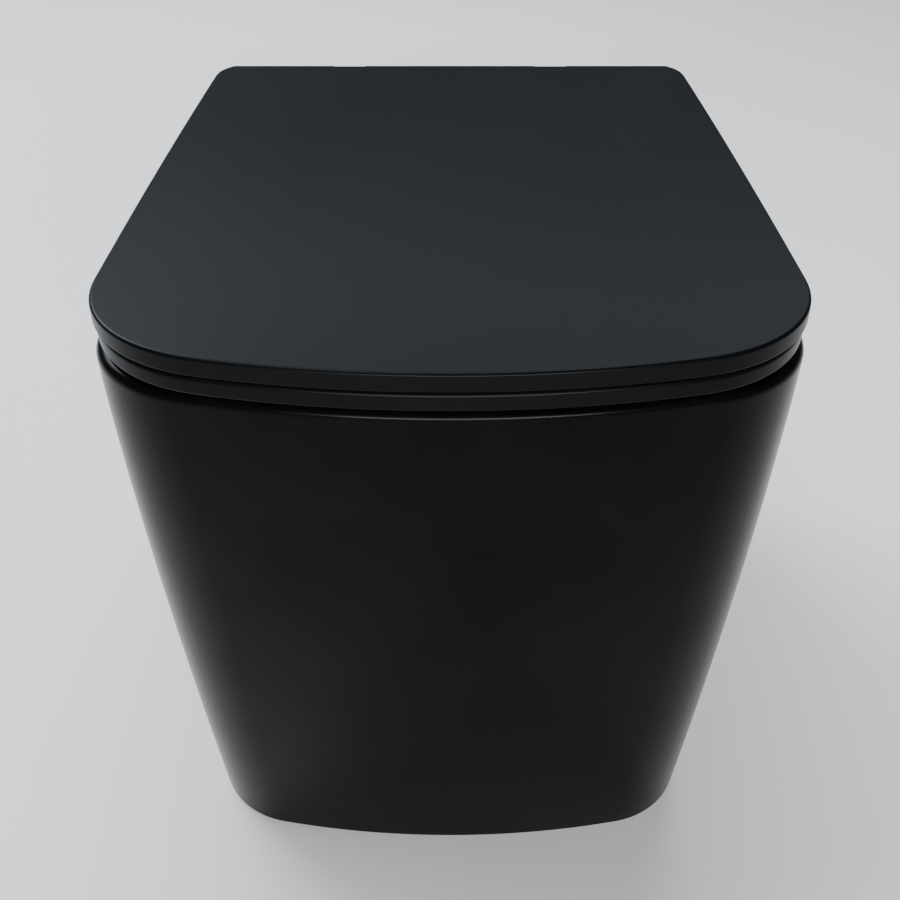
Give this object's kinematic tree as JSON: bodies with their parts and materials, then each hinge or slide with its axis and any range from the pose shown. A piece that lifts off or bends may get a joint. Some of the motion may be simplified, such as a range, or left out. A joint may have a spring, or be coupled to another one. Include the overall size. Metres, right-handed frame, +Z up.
{
  "type": "back-to-wall toilet",
  "caption": "Floor-standing back-to-wall toilet pan in matt black ware with a slim soft-close seat and wrap-over lid that lift off.",
  "frame": {"origin": "on the floor, at the centre of the bounding box", "axes": "+Y towards the wall behind the pan, +X to the right seen from the front, +Z up"},
  "size_m": [0.3666, 0.53, 0.426],
  "materials": {
    "matt_black_ware": "matt glaze",
    "black_duroplast": "satin moulded",
    "rubber": "moulded",
    "black_nylon": "moulded",
    "white_nylon": "moulded",
    "damper_grey": "moulded",
    "stainless_steel": "brushed",
    "black_zinc": "satin black coating",
    "brass": "machined"
  },
  "bodies": {
    "root": {"pan": "matt_black_ware", "flush_pipe_seal": "rubber", "flush_diffuser": "black_nylon", "hinge_plate_left": "stainless_steel", "hinge_stud_left": "stainless_steel", "hinge_plug_left": "rubber", "hinge_nut_left": "brass", "floor_bracket_left": "stainless_steel", "floor_washer_left": "stainless_steel", "floor_screw_left": "stainless_steel", "side_sleeve_left": "white_nylon", "side_screw_left": "stainless_steel", "screw_cap_left": "black_nylon", "hinge_plate_right": "stainless_steel", "hinge_stud_right": "stainless_steel", "hinge_plug_right": "rubber", "hinge_nut_right": "brass", "floor_bracket_right": "stainless_steel", "floor_washer_right": "stainless_steel", "floor_screw_right": "stainless_steel", "side_sleeve_right": "white_nylon", "side_screw_right": "stainless_steel", "screw_cap_right": "black_nylon"},
    "seat_mount": {"hinge_block_left": "black_zinc", "hinge_block_right": "black_zinc", "hinge_pin_left": "stainless_steel", "hinge_pin_right": "stainless_steel"},
    "seat": {"seat": "black_duroplast", "seat_buffer_front_left": "rubber", "seat_buffer_front_right": "rubber", "seat_buffer_rear_left": "rubber", "seat_buffer_rear_right": "rubber", "seat_damper": "damper_grey", "seat_bush": "white_nylon"},
    "lid": {"lid": "black_duroplast", "lid_buffer_front_left": "rubber", "lid_buffer_front_right": "rubber", "lid_buffer_rear_left": "rubber", "lid_buffer_rear_right": "rubber", "lid_damper": "damper_grey", "lid_bush": "white_nylon"},
    "button_left": {"release_button_left": "stainless_steel"},
    "button_right": {"release_button_right": "stainless_steel"}
  },
  "joints": [
    {"name": "seat_lift_off", "type": "slide", "parent": "root", "child": "seat_mount", "axis": [0, 0, 1], "range_m": [0, 0.02]},
    {"name": "seat_hinge", "type": "hinge", "parent": "seat_mount", "child": "seat", "pos_m": [0, 0.1915, 0.414], "axis": [-1, 0, 0], "range_deg": [0, 97]},
    {"name": "lid_hinge", "type": "hinge", "parent": "seat", "child": "lid", "pos_m": [0, 0.1915, 0.414], "axis": [1, 0, 0], "range_deg": [-97, 0]},
    {"name": "release_left", "type": "slide", "parent": "seat_mount", "child": "button_left", "axis": [0, -1, 0], "range_m": [0, 0.0012], "stiffness_N_per_m": 400},
    {"name": "release_right", "type": "slide", "parent": "seat_mount", "child": "button_right", "axis": [0, -1, 0], "range_m": [0, 0.0012], "stiffness_N_per_m": 400}
  ]
}
